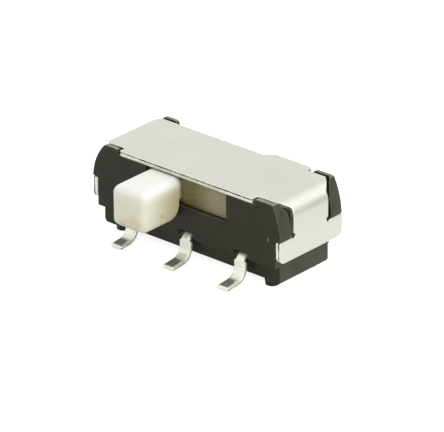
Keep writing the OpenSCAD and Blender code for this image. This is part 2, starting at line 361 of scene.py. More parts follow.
@dataclass
class SheetPart:
    """A part cut from sheet and folded: an outline on the flat sheet, wrapped round a fold.

    The rim runs from the drawn face to the other: a rolled-over edge, a narrow shear line sunk into
    the metal, the torn band, and a small bevel at the far face. The line lies between two shares of
    the thickness. lip, bulge and foot place the torn band: each is a share of the line's sunk depth
    and a share of the thickness, counted from the line's end for the lip.
    """

    fold: Fold
    plane: Plane
    outline: np.ndarray
    thickness: float
    roll: float
    sunk: float = 0.02
    line: tuple[float, float] = (0.22, 0.4)
    lip: tuple[float, float] = (0.25, 0.04)
    bulge: tuple[float, float] = (0.15, 0.7)
    foot: tuple[float, float] = (0.3, 0.9)
    far_bevel: float = 0.06
    plain_ends: bool = False
    step: float = 0.2
    bend_deg: float = 6.0
    clear: float = 0.03
    front_y: float = 0.0

    def rim(self) -> np.ndarray:
        """Rim section as (inset, depth) pairs, from the drawn face to the far one.

        The roll is a quarter circle: r * (1 - sin a) inside the outline at a depth of r * (1 - cos a).

        Returns:
            The pairs, between which the roll's bands come first, then the shear line's.
        """
        t, r, s = self.thickness, self.roll, self.sunk
        angle = np.radians(np.linspace(0, 90, ROLL_BANDS + 1))
        rolled = np.stack([r * (1 - np.sin(angle)), r * (1 - np.cos(angle))], axis=1)
        first, last = self.line
        wall = np.array([[s, first * t], [s, last * t], [self.lip[0] * s, (last + self.lip[1]) * t],
                         [self.bulge[0] * s, self.bulge[1] * t], [self.foot[0] * s, self.foot[1] * t],
                         [self.foot[0] * s + self.far_bevel * t, t]])
        return np.concatenate([rolled, wall])

    def faced(self, distance: float, depth: float) -> tuple[np.ndarray, list[tuple[int, ...]]]:
        """Triangles over the outline moved inwards, with rows of inner points across each column.

        Args:
            distance: How far the outline is moved inwards.
            depth: Depth of this face in the metal.

        Returns:
            Flat points as (along, across, depth) and faces, the outline's own points first.
        """
        edge = inset(self.outline, distance)
        along = self.fold.columns(self.step, self.bend_deg)
        low, high = edge[:, 1].min(), edge[:, 1].max()
        across = np.linspace(low, high, max(2, int((high - low) / self.step)) + 1)[1:-1]
        grid = np.stack(np.meshgrid(along, across, indexing="ij"), axis=-1).reshape(-1, 2)
        inner = grid[self.inside(edge, grid, self.clear)]
        count = len(edge)
        sides = [(i, (i + 1) % count) for i in range(count)]
        flat = [Vector(p) for p in np.concatenate([edge, inner])]
        verts, _, faces, origin, _, _ = delaunay_2d_cdt(flat, sides, [list(range(count))], 1, EXACT)
        if len(verts) != len(flat):
            raise ValueError(f"the sheet's outline crosses itself: {len(flat)} points became {len(verts)}")
        points = np.array([[v.x, v.y, depth] for v in verts])
        back = np.empty(len(verts), dtype=int)
        back[[o[0] for o in origin]] = np.arange(len(verts))
        order = np.argsort(back)
        return points[back], [tuple(int(order[i]) for i in face) for face in faces]

    @staticmethod
    def inside(loop: np.ndarray, points: np.ndarray, margin: float) -> np.ndarray:
        """Which points lie inside a loop, by crossings to the right, and at least a margin from it.

        Args:
            loop: Outline points.
            points: Points to test.
            margin: Least distance from the loop's points.

        Returns:
            A truth value for each point.
        """
        a, b = loop, np.roll(loop, -1, axis=0)
        px, py = points[:, 0:1], points[:, 1:2]
        crosses = (a[:, 1] > py) != (b[:, 1] > py)
        rise = np.where(b[:, 1] == a[:, 1], 1, b[:, 1] - a[:, 1])
        at = a[:, 0] + (py - a[:, 1]) / rise * (b[:, 0] - a[:, 0])
        within = (crosses & (px < at)).sum(axis=1) % 2 == 1
        clear = np.hypot(px - a[:, 0], py - a[:, 1]).min(axis=1) > margin
        return within & clear

    def band_finish(self, number: int) -> np.ndarray:
        """Material index of each face of a rim band: 0 on the roll, 1 on the shear line, 2 beyond it.

        Args:
            number: The band, counted from the drawn face.

        Returns:
            An index for each side of the outline, with 2 for the line across a plain end.
        """
        count = len(self.outline)
        if number < ROLL_BANDS:
            return np.zeros(count, dtype=int)
        if number >= ROLL_BANDS + LINE_BANDS:
            return np.full(count, 2)
        along, across = np.abs(np.roll(self.outline, -1, axis=0) - self.outline).T
        return np.where(self.plain_ends & (along < across), 2, 1)

    def shape(self) -> Shape:
        """The folded part: two faces and the rim between them, wrapped round the fold.

        Returns:
            The part in the frame's own axes.
        """
        rim = self.rim()
        count = len(self.outline)
        top, top_faces = self.faced(rim[0, 0], 0.0)
        bottom, bottom_faces = self.faced(rim[-1, 0], self.thickness)
        rings = np.concatenate([np.column_stack([inset(self.outline, i), np.full(count, d)])
                                for i, d in rim[1:-1]])
        flat = np.concatenate([top, rings, bottom])
        starts = [0] + [len(top) + k * count for k in range(len(rim) - 2)] + [len(top) + len(rings)]
        faces, finish = list(top_faces), [0] * len(top_faces)
        around = np.arange(count)
        beside = (around + 1) % count
        for number, (a, b) in enumerate(zip(starts[:-1], starts[1:])):
            band = np.stack([a + around, b + around, b + beside, a + beside], axis=1)
            faces += [tuple(f) for f in band.tolist()]
            finish += self.band_finish(number).tolist()
        faces += [tuple(i + starts[-1] for i in face[::-1]) for face in bottom_faces]
        finish += [0] * len(bottom_faces)
        section = self.fold.place(flat[:, 0], flat[:, 2])
        first, second, wide = self.plane.value
        points = np.empty((len(flat), 3))
        points[:, first], points[:, second], points[:, wide] = section[:, 0], section[:, 1], flat[:, 1]
        points[:, 1] += self.front_y
        return Shape(points, faces, finish)


def plain_strip(fold: Fold, plane: Plane, across: tuple[float, float], corner_r: float, thickness: float,
                roll: float, sunk: float, front_y: float) -> SheetPart:
    """A folded strip with straight sides and four rounded corners.

    Args:
        fold: The strip's fold.
        plane: Plane in which the fold is drawn.
        across: Where the strip's two sides lie.
        corner_r: Radius of its corners.
        thickness: Thickness of the sheet.
        roll: Radius of the rolled-over edge.
        sunk: Depth of the shear line.
        front_y: Place of the front face.

    Returns:
        The part.
    """
    length = fold.knots()[-1]
    ends = [(0, across[0]), (length, across[0]), (length, across[1]), (0, across[1])]
    outline = rounded_outline([(u, v, corner_r) for u, v in ends], FINE_POINT_STEP)
    return SheetPart(fold, plane, outline, thickness, roll, sunk, step=FINE_STEP, front_y=front_y)


# ---- finishes ----

Tone = tuple[int, int, int]
Socket = bpy.types.NodeSocket
CLOUDS = (0.3, 0.7)         # range of a noise in which its clouds lie
TIGHT_CLOUDS = (0.35, 0.65)


def colour(tone: Tone) -> tuple[float, float, float, float]:
    """Display colour, 0 to 255, as the linear colour that a shader takes, by the sRGB curve."""
    value = np.array(tone) / 255
    linear = np.where(value <= 0.04045, value / 12.92, ((value + 0.055) / 1.055) ** 2.4)
    return (*linear.tolist(), 1.0)


class Graph:
    """A tree of shader nodes, with the steps that the finishes and the world are made of."""

    def __init__(self, tree: bpy.types.NodeTree) -> None:
        """Takes the tree to build in."""
        self.tree = tree

    def feed(self, socket: Socket, value: Socket | float | tuple) -> None:
        """Links a value into a socket, or sets it there if it is a plain number or colour.

        Args:
            socket: Socket that takes the value.
            value: Another socket, a number or a colour.
        """
        if isinstance(value, Socket):
            self.tree.links.new(value, socket)
        else:
            socket.default_value = value

    def node(self, kind: str, feeds: dict[str | int, Socket | float | tuple] | None = None,
             **settings: str | int) -> bpy.types.Node:
        """Adds a node.

        Args:
            kind: Its type, without the leading ShaderNode.
            feeds: What feeds its sockets, by their names or numbers.
            settings: Its own settings, such as its operation.

        Returns:
            The node.
        """
        node = self.tree.nodes.new(f"ShaderNode{kind}")
        for name, setting in settings.items():
            setattr(node, name, setting)
        for key, value in (feeds or {}).items():
            self.feed(node.inputs[key], value)
        return node

    def math(self, operation: str, *values: Socket | float) -> Socket:
        """Result of a math node on sockets or numbers."""
        return self.node("Math", dict(enumerate(values)), operation=operation).outputs[0]

    def times(self, first: Socket | float, second: Socket | float) -> Socket:
        """Product of two values."""
        return self.math("MULTIPLY", first, second)

    def dot(self, first: Socket, second: Socket | tuple[float, float, float]) -> Socket:
        """Dot product of two vectors."""
        return self.node("VectorMath", {0: first, 1: second}, operation="DOT_PRODUCT").outputs["Value"]

    def remap(self, value: Socket, old: tuple[float, float], new: tuple[float, float] = (0, 1)) -> Socket:
        """Maps one range of a value smoothly onto another, and clamps it."""
        feeds = dict(enumerate((value, *old, *new)))
        return self.node("MapRange", feeds, interpolation_type="SMOOTHSTEP").outputs["Result"]

    def mix(self, share: Socket, low: Socket | tuple, high: Socket | tuple) -> Socket:
        """Colour between low and high, by a share from 0 to 1."""
        colours = {0: share, 6: low, 7: high}     # a Mix node's sockets 6 and 7 are its two colours
        return self.node("Mix", colours, data_type="RGBA").outputs[2]

    def seen_share(self) -> Socket:
        """1 for camera, glossy and transmission rays, and 0 for the rays that light surfaces."""
        rays = self.node("LightPath").outputs
        shown = self.math("MAXIMUM", rays["Is Camera Ray"], rays["Is Glossy Ray"])
        return self.math("MAXIMUM", shown, rays["Is Transmission Ray"])


class Recipe(Graph):
    """Builds a procedural material, node by node, with patterns measured in millimetres."""

    def __init__(self, name: str) -> None:
        """Starts a material with a principled shader and object coordinates in millimetres.

        Args:
            name: Name of the material.
        """
        self.material = bpy.data.materials.new(name)
        self.material.use_nodes = True
        super().__init__(self.material.node_tree)
        self.shader = self.tree.nodes["Principled BSDF"]
        metres = self.node("TexCoord").outputs["Object"]
        self.place = self.node("Mapping", {"Vector": metres, "Scale": (1 / MM,) * 3}).outputs["Vector"]

    def dress(self, **values: Socket | float | tuple) -> None:
        """Feeds the shader's own sockets, named with underscores for spaces."""
        for name, value in values.items():
            self.feed(self.shader.inputs[name.replace("_", " ")], value)

    def noise(self, size: float, detail: float = 3, rough: float = 0.5,
              stretch: tuple[float, float, float] = (1, 1, 1)) -> Socket:
        """Cloudy noise from 0 to 1.

        Args:
            size: Size of its largest features, in millimetres.
            detail: Octaves of finer noise.
            rough: Strength of the finer noise.
            stretch: Factor along each axis before the noise is read.

        Returns:
            The noise's value.
        """
        vector = self.node("Mapping", {"Vector": self.place, "Scale": stretch}).outputs["Vector"]
        feeds = {"Vector": vector, "Scale": 1 / size, "Detail": detail, "Roughness": rough}
        return self.node("TexNoise", feeds).outputs["Fac"]

    def spots(self, size: float, radius: float, core: float = 0.5) -> Socket:
        """Sparse round specks, 1 in a speck's core and 0 outside it.

        Args:
            size: Distance between cells, in millimetres.
            radius: Radius of a speck, as a share of a cell.
            core: Share of the radius that is full.

        Returns:
            The specks' mask.
        """
        cells = self.node("TexVoronoi", {"Vector": self.place, "Scale": 1 / size})
        return self.remap(cells.outputs["Distance"], (radius, core * radius))

    def axis(self, name: str) -> Socket:
        """One coordinate, X, Y or Z, in millimetres."""
        return self.node("SeparateXYZ", {0: self.place}).outputs[name]

    def facing(self, name: str) -> Socket:
        """How far the surface faces along X, Y or Z, from -1 to 1."""
        return self.node("SeparateXYZ", {0: self.node("NewGeometry").outputs["Normal"]}).outputs[name]

    def near(self, point: tuple[float, float, float], reach: float, core: float = 0.4) -> Socket:
        """1 within a core round a point, in millimetres, fading to 0 at a distance of reach.

        Args:
            point: The middle.
            reach: Distance at which the mask ends.
            core: Share of the reach that is full.

        Returns:
            The mask.
        """
        away = self.node("VectorMath", {0: self.place, 1: point}, operation="DISTANCE").outputs["Value"]
        return self.remap(away, (reach, core * reach))

    def worn_and_lit_edge(self, width: float, turn: tuple[float, float] = (0.995, 0.85), samples: int = 4) -> Socket:
        """How much a rounded edge takes the edge colour, partly wear and partly a painted highlight, from 0
        on flats to 1 on edges.

        The direction of the surface is compared with its mean within the width, by their dot product.

        Args:
            width: Width that counts as an edge, in millimetres.
            turn: Dot products at which the edge colour starts and is full.
            samples: Rays that find the mean direction.

        Returns:
            The mask.
        """
        mean = self.node("Bevel", {"Radius": width * MM}, samples=samples).outputs["Normal"]
        return self.remap(self.dot(mean, self.node("NewGeometry").outputs["Normal"]), turn)

    def bump(self, height: Socket, depth: float) -> None:
        """Bumps the surface, over any bump that it already has.

        Args:
            height: Height pattern, 0 to 1.
            depth: Depth of the pattern in millimetres.
        """
        normal = self.shader.inputs["Normal"]
        earlier = {"Normal": link.from_socket for link in normal.links}
        bump = self.node("Bump", {"Height": height, "Distance": depth * MM, **earlier})
        self.feed(normal, bump.outputs["Normal"])


@dataclass(frozen=True)
class Moulding:
    """A moulded plastic: its colours, gloss and the fine texture of its mould.

    Sizes are in millimetres, and a speck's radius is a share of its cell.
    """

    name: str
    body: Tone
    shade: Tone
    # edge colour on rounded edges: partly wear, partly a painted highlight
    edge: Tone
    roughness: tuple[float, float]
    grain: float
    gloss: float
    speck: Tone
    glow: float = 0.0
    wear_and_highlight_width: float = 0.03
    sheen: Tone = (255, 255, 255)
    ior: float = 1.5
    glow_depth: float = 0.35
    glow_reach: tuple[float, float, float] = (1.0, 0.8, 0.5)
    cloud_size: float = 1.1
    speck_cell: float = 0.9
    speck_r: float = 0.05
    speck_share: float = 0.7
    edge_patch_size: float = 0.3
    edge_patch_clouds: tuple[float, float] = (0.3, 0.6)
    edge_patch_level: tuple[float, float] = (0.4, 1)
    patch_size: float = 0.5
    sink_size: float = 0.6
    sink_depth: float = 0.004
    grain_size: float = 0.035

    def tone(self, recipe: Recipe) -> Socket:
        """The clouded body colour."""
        cloud = recipe.remap(recipe.noise(self.cloud_size, detail=4), CLOUDS)
        return recipe.mix(cloud, colour(self.shade), colour(self.body))

    def rubbing_and_highlight(self, recipe: Recipe) -> Socket:
        """How much of the edge's colour, partly wear and partly a painted highlight, shows: patchy along
        each rounded edge.
        """
        patches = recipe.remap(recipe.noise(self.edge_patch_size), self.edge_patch_clouds, self.edge_patch_level)
        return recipe.times(recipe.worn_and_lit_edge(self.wear_and_highlight_width), patches)

    def material(self) -> bpy.types.Material:
        """The finish: clouded colour, rubbed edges with a painted highlight, rare specks, a patchy gloss,
        faint sinks and a grain.

        Returns:
            The new material.
        """
        recipe = Recipe(self.name)
        recipe.dress(IOR=self.ior, Specular_IOR_Level=self.gloss, Specular_Tint=colour(self.sheen))
        if self.glow:
            recipe.dress(Subsurface_Weight=self.glow, Subsurface_Scale=self.glow_depth * MM,
                         Subsurface_Radius=self.glow_reach)
        specks = recipe.times(recipe.spots(self.speck_cell, self.speck_r), self.speck_share)
        specked = recipe.mix(specks, self.tone(recipe), colour(self.speck))
        recipe.dress(Base_Color=recipe.mix(self.rubbing_and_highlight(recipe), specked, colour(self.edge)),
                     Roughness=recipe.remap(recipe.noise(self.patch_size, detail=5), CLOUDS, self.roughness))
        recipe.bump(recipe.noise(self.sink_size, detail=2), self.sink_depth)
        recipe.bump(recipe.noise(self.grain_size, detail=2, rough=0.6), self.grain)
        return recipe.material


@dataclass(frozen=True)
class SliderMoulding(Moulding):
    """The slider's ivory: a painted highlight on the knob's top, painted shade towards the body and on the
    wall.
    """

    # painted highlight: the knob whitens towards its top face, where the light from above falls
    top_highlight_tone: Tone = (249, 250, 242)
    top_highlight_z: tuple[float, float] = (2.5, 3.0)
    # painted shade: the knob turns yellower and darker towards the dark body behind it
    body_side_shade: Tone = (214, 207, 166)
    body_side_shade_depth: tuple[float, float] = (-1.1, 0.6)
    # painted shade: the wall behind the window is darkened, and browner in the painted shadow of the knob
    # beside it
    thin: Tone = (159, 152, 122)
    wall_shade_depth: tuple[float, float] = (0.6, 0.86)
    knob_shadow_tone: Tone = (119, 110, 68)
    knob_shadow_x: float = -1.0
    knob_shadow_run: tuple[float, float] = (1.1, 2.3)
    # a clouded yellowish patch round the knob's lower middle
    knob_patch_tone: Tone = (214, 196, 158)
    knob_patch_at: tuple[float, float, float] = (-0.9, -1.1, 1.6)
    knob_patch_r: float = 0.8
    knob_patch_size: float = 0.5
    knob_patch_share: float = 0.5
    fleck: Tone = (152, 137, 102)
    fleck_at: tuple[float, float, float] = (-0.25, -0.23, 1.96)
    fleck_r: float = 0.11
    fleck_share: float = 0.36

    def tone(self, recipe: Recipe) -> Socket:
        """The clouded ivory: a painted highlight whitens the knob's top, painted shade yellows it towards
        the body and browns the wall.

        Args:
            recipe: Material under way.

        Returns:
            The colour.
        """
        depth = recipe.axis("Y")
        # painted shade: yellower and darker towards the body
        body_shaded = recipe.mix(recipe.remap(depth, self.body_side_shade_depth), super().tone(recipe), colour(self.body_side_shade))
        # painted highlight: whiter towards the knob's top
        top_highlit = recipe.mix(recipe.remap(recipe.axis("Z"), self.top_highlight_z), body_shaded, colour(self.top_highlight_tone))
        # painted shade and painted shadow of the knob on the wall behind the window
        aside = recipe.math("ABSOLUTE", recipe.math("SUBTRACT", recipe.axis("X"), self.knob_shadow_x))
        wall = recipe.mix(recipe.remap(aside, self.knob_shadow_run), colour(self.knob_shadow_tone), colour(self.thin))
        wall_shaded = recipe.mix(recipe.remap(depth, self.wall_shade_depth), top_highlit, wall)
        # a clouded yellowish patch round the knob's lower middle
        clouds = recipe.remap(recipe.noise(self.knob_patch_size, detail=4), TIGHT_CLOUDS, (0, self.knob_patch_share))
        patch = recipe.times(recipe.near(self.knob_patch_at, self.knob_patch_r), clouds)
        patched = recipe.mix(patch, wall_shaded, colour(self.knob_patch_tone))
        fleck = recipe.times(recipe.near(self.fleck_at, self.fleck_r), self.fleck_share)
        return recipe.mix(fleck, patched, colour(self.fleck))


@dataclass(frozen=True)
class SheenPaintedMoulding(Moulding):
    """The base's black, with a patchy painted sheen on the level tops of its ears and on its end faces."""

    # painted sheen: paler patches on up-facing tops and on the end faces, as if lit from above and the right
    painted_sheen: Tone = (150, 152, 140)
    painted_sheen_z: tuple[float, float] = (3.05, 3.15)
    painted_sheen_size: float = 0.7
    painted_sheen_patches: tuple[float, float] = (0.6, 1)
    level: tuple[float, float] = (0.6, 0.95)
    end_sheen: float = 0.15
    edge_tone_z: tuple[float, float] = (1.1, 1.6)

    def tone(self, recipe: Recipe) -> Socket:
        """The clouded black under a patchy painted sheen.

        Args:
            recipe: Material under way.

        Returns:
            The colour.
        """
        on_level_tops = recipe.times(recipe.remap(recipe.facing("Z"), self.level),
                             recipe.remap(recipe.axis("Z"), self.painted_sheen_z))
        sideways = recipe.math("ABSOLUTE", recipe.facing("X"))
        share = recipe.math("MAXIMUM", on_level_tops, recipe.remap(sideways, self.level, (0, self.end_sheen)))
        # patchiness of the painted sheen
        thickness = recipe.remap(recipe.noise(self.painted_sheen_size, detail=4), CLOUDS, self.painted_sheen_patches)
        return recipe.mix(recipe.times(share, thickness), super().tone(recipe), colour(self.painted_sheen))

    def rubbing_and_highlight(self, recipe: Recipe) -> Socket:
        """The rubbed and highlit edge colour shows only above the body's lower edge."""
        return recipe.times(super().rubbing_and_highlight(recipe), recipe.remap(recipe.axis("Z"), self.edge_tone_z))


@dataclass(frozen=True)
class PlatedSheet:
    """A plated metal sheet: its colours, its satin grain and the direction of its rolling.

    Sizes are in millimetres. Haze is the share of the light that a level face scatters, and bloom the
    share on every other face, between the two values of the face's upward part in bloom_z.
    """

    name: str
    body: Tone
    shade: Tone
    roughness: tuple[float, float]
    rolling: tuple[float, float, float]
    waviness: float
    grain: float
    pitting: float = 0.15
    haze: float = 0.0
    bloom: float = 0.0
    bloom_z: tuple[float, float] = (0.994, 0.96)
    cloud_size: float = 1.6
    pit_cell: float = 0.6
    pit_r: float = 0.06
    pit_darker: int = 2
    line_size: float = 0.12
    line_share: float = 0.5
    patch_size: float = 0.8
    wave_size: float = 1.3
    grain_size: float = 0.03
    fine_share: float = 0.4

    def material(self) -> bpy.types.Material:
        """The finish: faint clouds in the plating, rolling lines, small pits and a slight waviness.

        Returns:
            The new material.
        """
        recipe = Recipe(self.name)
        recipe.dress(Metallic=1.0 - self.haze)
        if self.bloom:
            metal = (1.0 - self.haze, 1.0 - self.bloom)
            recipe.dress(Metallic=recipe.remap(recipe.facing("Z"), self.bloom_z, metal))
        cloud = recipe.remap(recipe.noise(self.cloud_size, detail=5), CLOUDS)
        pits = recipe.times(recipe.spots(self.pit_cell, self.pit_r), self.pitting)
        lines = recipe.noise(self.line_size, rough=0.6, stretch=self.rolling)
        tone = recipe.mix(cloud, colour(self.shade), colour(self.body))
        broad = recipe.times(recipe.noise(self.patch_size, detail=4), 1 - self.line_share)
        patches = recipe.math("ADD", recipe.times(lines, self.line_share), broad)
        pit = colour(tuple(part // self.pit_darker for part in self.shade))
        recipe.dress(Base_Color=recipe.mix(pits, tone, pit),
                     Roughness=recipe.remap(patches, TIGHT_CLOUDS, self.roughness))
        recipe.bump(recipe.noise(self.wave_size, detail=1), self.waviness)
        recipe.bump(lines, self.grain)
        recipe.bump(recipe.noise(self.grain_size, detail=2), self.fine_share * self.grain)
        return recipe.material


@dataclass(frozen=True)
class CutEdge:
    """The sheared edge of a sheet, where the plating is torn and the base metal shows."""

    name: str
    body: Tone
    shade: Tone
    roughness: float
    metal: float = 0.85
    stretch: float = 0.9
    stretch_clouds: tuple[float, float] = (0.38, 0.58)
    dull: float = 0.35
    streak_size: float = 0.07
    upright: tuple[float, float, float] = (1, 1, 0.25)
    depth: float = 0.006

    def material(self) -> bpy.types.Material:
        """The finish: torn streaks across the edge, in brighter and duller stretches along it.

        Returns:
            The new material.
        """
        recipe = Recipe(self.name)
        level = (self.dull, 1)
        torn = recipe.noise(self.streak_size, rough=0.6, stretch=self.upright)
        streaks = recipe.remap(torn, CLOUDS, level)
        stretches = recipe.remap(recipe.noise(self.stretch), self.stretch_clouds, level)
        share = recipe.times(streaks, stretches)
        recipe.dress(Metallic=self.metal, Roughness=self.roughness,
                     Base_Color=recipe.mix(share, colour(self.shade), colour(self.body)))
        recipe.bump(streaks, self.depth)
        return recipe.material


Finish = Moulding | PlatedSheet | CutEdge

# the black's pale edge colour is partly wear and partly a painted highlight on the ear rims
BLACK_MOULDING = SheenPaintedMoulding("black_moulding", body=(36, 35, 26), shade=(30, 29, 22), edge=(96, 96, 84),
                                roughness=(0.38, 0.5), grain=0.0022, gloss=0.27, speck=(80, 80, 74),
                                wear_and_highlight_width=0.07, sheen=(250, 248, 222))
# painted highlight: the mound's pale grey stands for the light it catches on the black
GATE_MARK_HIGHLIGHT = Moulding("gate_mark_painted_highlight", body=(104, 104, 97), shade=(84, 84, 78), edge=(120, 120, 112),
                     roughness=(0.35, 0.5), grain=0.002, gloss=0.5, speck=(80, 80, 74))
IVORY_MOULDING = SliderMoulding("ivory_moulding", body=(246, 244, 224), shade=(240, 238, 214),
                                edge=(249, 248, 238), roughness=(0.42, 0.54), grain=0.0014, gloss=0.34,
                                speck=(150, 126, 92), glow=0.25)
COVER_METAL = (
    PlatedSheet("tinned_sheet", body=(220, 222, 211), shade=(216, 218, 207), roughness=(0.37, 0.43),
                rolling=(0.25, 4, 4), waviness=0.002, grain=0.0004, pitting=0.08),
    # the shear line's dark dashes are partly a real line on the sheared edge and partly painted shade of its
    # sunk groove
    CutEdge("shear_line_and_shade", body=(206, 206, 192), shade=(58, 57, 48), roughness=0.5, stretch=0.4, dull=0.0),
    CutEdge("torn_edge", body=(238, 240, 230), shade=(196, 196, 184), roughness=0.45),
)
LEAD_METAL = (
    PlatedSheet("tin_plate", body=(251, 251, 238), shade=(244, 244, 229), roughness=(0.16, 0.26),
                rolling=(2, 0.5, 0.5), waviness=0.003, grain=0.0006, haze=0.19, bloom=0.72),
    # the lead's dark shear line is partly a real line on the sheared edge and partly painted shade along the
    # strip's sides
    CutEdge("lead_shear_line_and_shade", body=(190, 188, 170), shade=(92, 90, 78), roughness=0.45, metal=0.6,
            stretch=0.3, dull=0.0),
    CutEdge("lead_torn_edge", body=(247, 248, 232), shade=(226, 226, 206), roughness=0.4, metal=0.5),
)
CLIP_METAL = (
    PlatedSheet("contact_bronze", body=(214, 172, 96), shade=(196, 150, 78), roughness=(0.2, 0.32),
                rolling=(0.3, 4, 4), waviness=0.004, grain=0.001),
    CutEdge("bronze_shear_line", body=(150, 112, 58), shade=(112, 82, 40), roughness=0.45),
    CutEdge("bronze_torn_edge", body=(196, 152, 84), shade=(164, 122, 62), roughness=0.45),
)
LEAF_METAL = (
    PlatedSheet("spring_steel", body=(186, 189, 192), shade=(168, 171, 175), roughness=(0.2, 0.3),
                rolling=(0.3, 4, 4), waviness=0.004, grain=0.001),
    CutEdge("steel_shear_line", body=(118, 120, 122), shade=(86, 88, 90), roughness=0.45),
    CutEdge("steel_torn_edge", body=(164, 166, 168), shade=(134, 136, 139), roughness=0.45),
)


# ---- sizes shared by the pieces ----

def node_box(node: str, front_y: float = 0.0) -> tuple[np.ndarray, np.ndarray]:
    """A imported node's lowest and highest corners in millimetres, with depths counted from front_y."""
    low, high = (np.array(corner) / MM - [0, front_y, 0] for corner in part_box(node))
    return low, high


@dataclass(frozen=True)
class Layout:
    """Where the switch's pieces meet, in millimetres.

    Depths are counted from the front face, whose place in the frame is front_y. The cover's end flaps
    stand at end_x, its top is at top_z, and the lower edge of its crossbars is at bar_z.
    """

    front_y: float
    body_d: float
    end_x: float
    top_z: float
    bar_z: float
    knob_x: float
    knob_front_d: float
    slider_top_z: float

    @classmethod
    def from_frame(cls) -> "Layout":
        """Reads the boxes of the cover and the slider.

        Returns:
            The layout.
        """
        low, high = node_box("cover")
        near, far = node_box("slider")
        numbers = (low[1], high[1] - low[1], high[0], high[2], low[2], (near[0] + far[0]) / 2,
                   near[1] - low[1], far[2])
        return cls(*(float(number) for number in numbers))


def dressed(piece: bpy.types.Object, finishes: tuple[Finish, ...], body: str,
            node: str) -> bpy.types.Object:
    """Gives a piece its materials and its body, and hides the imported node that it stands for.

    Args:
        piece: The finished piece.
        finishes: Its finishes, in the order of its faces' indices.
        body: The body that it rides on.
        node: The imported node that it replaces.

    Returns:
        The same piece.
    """
    for finish in finishes:
        piece.data.materials.append(finish.material())
    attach(piece, body)
    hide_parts(node)
    return piece


def sheet_piece(name: str, part: SheetPart, sharp_deg: float = 35) -> bpy.types.Object:
    """A folded sheet part as an object, in metres, with its folds smooth.

    Args:
        name: Name of the piece and its mesh.
        part: The sheet part.
        sharp_deg: Angle above which an edge stays sharp.

    Returns:
        The new piece.
    """
    mesh = part.shape().mesh(name)
    mesh.transform(Matrix.Scale(MM, 4))
    piece = add_object(name, mesh)
    smooth_shading(piece, sharp_deg)
    return piece


def node_copy(node: str, name: str) -> bpy.types.Object:
    """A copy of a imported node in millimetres, with its triangles merged into flat faces.

    Args:
        node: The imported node.
        name: Name of the new piece.

    Returns:
        The new piece.
    """
    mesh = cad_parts[node].data.copy()
    mesh.name = name
    mesh.transform(Matrix.Scale(1 / MM, 4))
    with editing(mesh) as work:
        bmesh.ops.remove_doubles(work, verts=work.verts, dist=CLOSE)
        bmesh.ops.dissolve_limit(work, angle_limit=FLAT_ANGLE, verts=work.verts, edges=work.edges)
    mesh.materials.clear()
    mesh.polygons.foreach_set("material_index", [0] * len(mesh.polygons))
    return add_object(name, mesh)


class Limit(Enum):
    """Which edges a rounding takes: those above an angle, or each by its own weight."""

    ANGLE = "ANGLE"
    WEIGHT = "WEIGHT"


def softened(piece: bpy.types.Object, width: float, segments: int, least_deg: float,
             limit: Limit = Limit.ANGLE) -> None:
    """Rounds a piece's sharp edges, in millimetres, with a modifier that is still to be applied.

    Args:
        piece: The piece.
        width: Width of the rounding.
        segments: Faces across a rounding.
        least_deg: Smallest angle of an edge that is rounded, in degrees.
        limit: Which edges are rounded.
    """
    bevel = piece.modifiers.new("soft_edges", "BEVEL")
    bevel.width = width
    bevel.segments = segments
    bevel.limit_method = limit.value
    bevel.angle_limit = math.radians(least_deg)
    bevel.use_clamp_overlap = True
    bevel.harden_normals = False
    bevel.miter_outer = "MITER_ARC"


# ---- sub-assemblies ----

